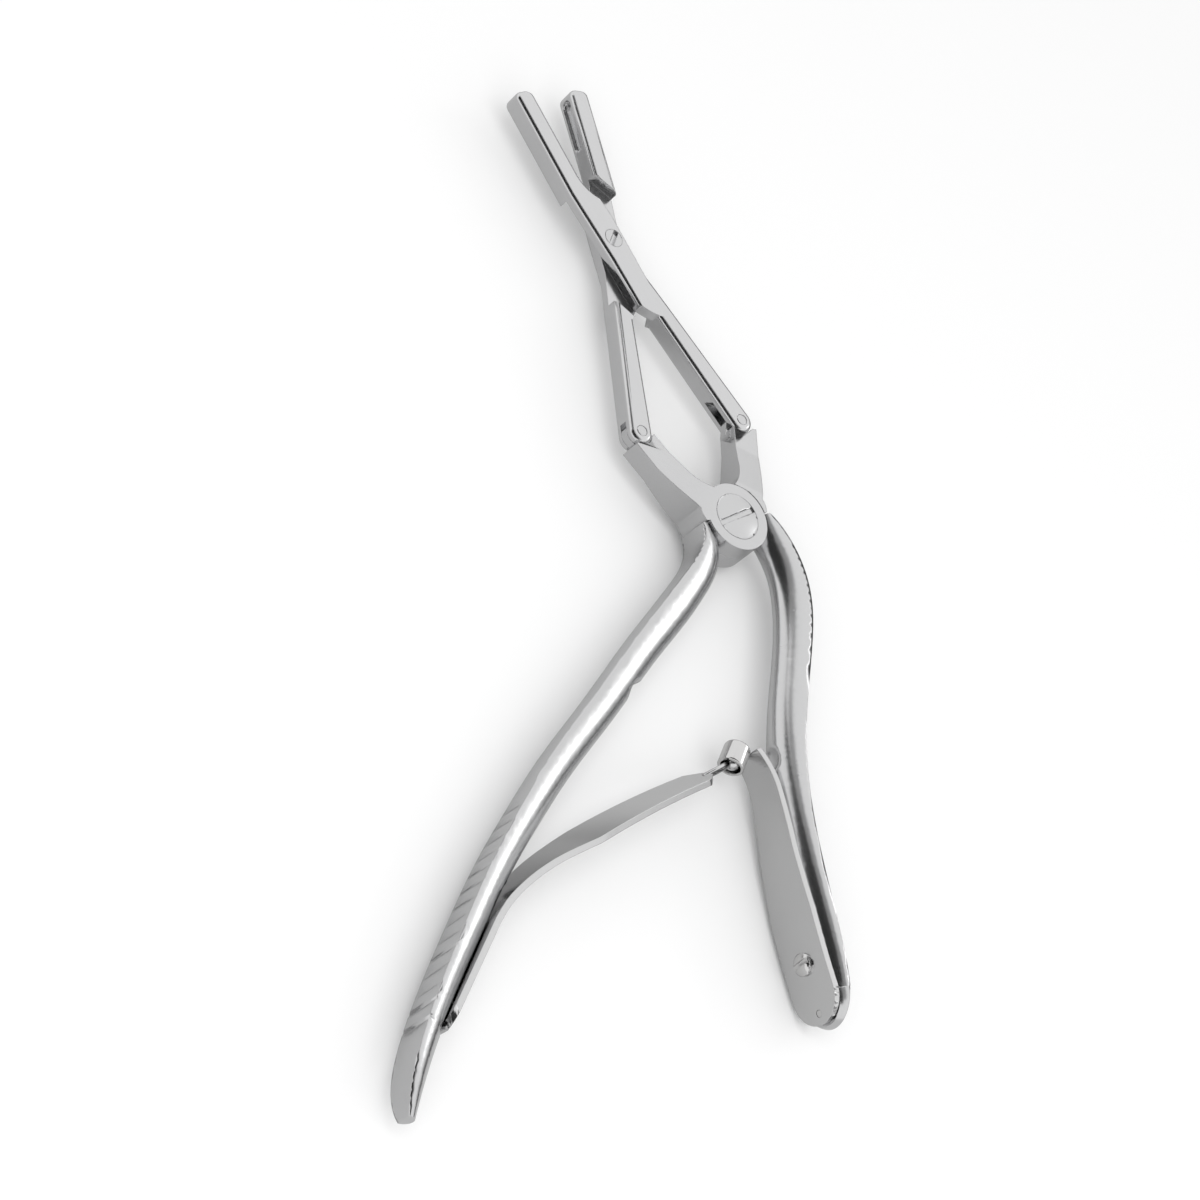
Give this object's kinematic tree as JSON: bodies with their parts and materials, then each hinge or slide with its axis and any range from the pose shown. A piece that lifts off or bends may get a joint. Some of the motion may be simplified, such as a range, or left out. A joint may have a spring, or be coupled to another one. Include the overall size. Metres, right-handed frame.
{
  "type": "nasal septum forceps",
  "caption": "Double-action hand forceps: two long curved grips close two slender cupped jaws through links, and a pair of leaf springs opens them again.",
  "frame": {"origin": "main pivot axis at the rear face of the lap joint", "axes": "+Y from the main pivot to the blade pivot, +Z along the pivot axes towards the screw heads, +X towards the palm grip's shoulder"},
  "size_m": [0.1265, 0.182, 0.0121],
  "materials": {
    "satin_steel": "satin stainless steel",
    "spring_steel": "satin spring steel with bright edges",
    "polished_steel": "polished stainless steel"
  },
  "bodies": {
    "palm_side": {"palm_lever": "satin_steel", "palm_leaf_screw": "polished_steel", "palm_leaf_pin": "polished_steel"},
    "finger_side": {"finger_lever": "satin_steel", "main_screw": "polished_steel", "finger_leaf_screw": "polished_steel", "finger_leaf_pin": "polished_steel"},
    "rear_jaw": {"rear_blade": "satin_steel", "blade_screw": "polished_steel", "left_link_pin": "polished_steel"},
    "front_jaw": {"front_blade": "satin_steel", "right_link_pin": "polished_steel"},
    "palm_spring": {"palm_leaf": "spring_steel", "spring_socket": "polished_steel"},
    "finger_spring": {"finger_leaf": "spring_steel"}
  },
  "joints": [
    {"name": "grip_squeeze", "type": "hinge", "parent": "palm_side", "child": "finger_side", "pos_m": [0, 0, 0.00365], "axis": [0, 0, 1], "range_deg": [0, 31.8], "stiffness_Nm_per_rad": 1.2, "springref_deg": -11.46},
    {"name": "left_link", "type": "hinge", "parent": "palm_side", "child": "rear_jaw", "pos_m": [-0.0123, 0.0192, 0.00365], "axis": [0, 0, 1], "range_deg": [0, 24.2]},
    {"name": "blade_pivot", "type": "hinge", "parent": "rear_jaw", "child": "front_jaw", "pos_m": [0, 0.058, 0.00365], "axis": [0, 0, 1], "range_deg": [-16.5, 0]},
    {"name": "palm_leaf_bend", "type": "hinge", "parent": "palm_side", "child": "palm_spring", "pos_m": [-0.0198, -0.05947, 0.00365], "axis": [0, 0, 1], "range_deg": [-18.9, 0], "deforming": ["palm_leaf"]},
    {"name": "finger_leaf_bend", "type": "hinge", "parent": "finger_side", "child": "finger_spring", "pos_m": [-0.09146, -0.1097, 0.00365], "axis": [0, 0, 1], "range_deg": [0, 12.4], "deforming": ["finger_leaf"]}
  ],
  "couplings": [
    {"joint": "left_link", "follows": "grip_squeeze", "ratio": 0.759},
    {"joint": "blade_pivot", "follows": "grip_squeeze", "ratio": -0.5181},
    {"joint": "palm_leaf_bend", "follows": "grip_squeeze", "ratio": -0.5934},
    {"joint": "finger_leaf_bend", "follows": "grip_squeeze", "ratio": 0.3868}
  ]
}
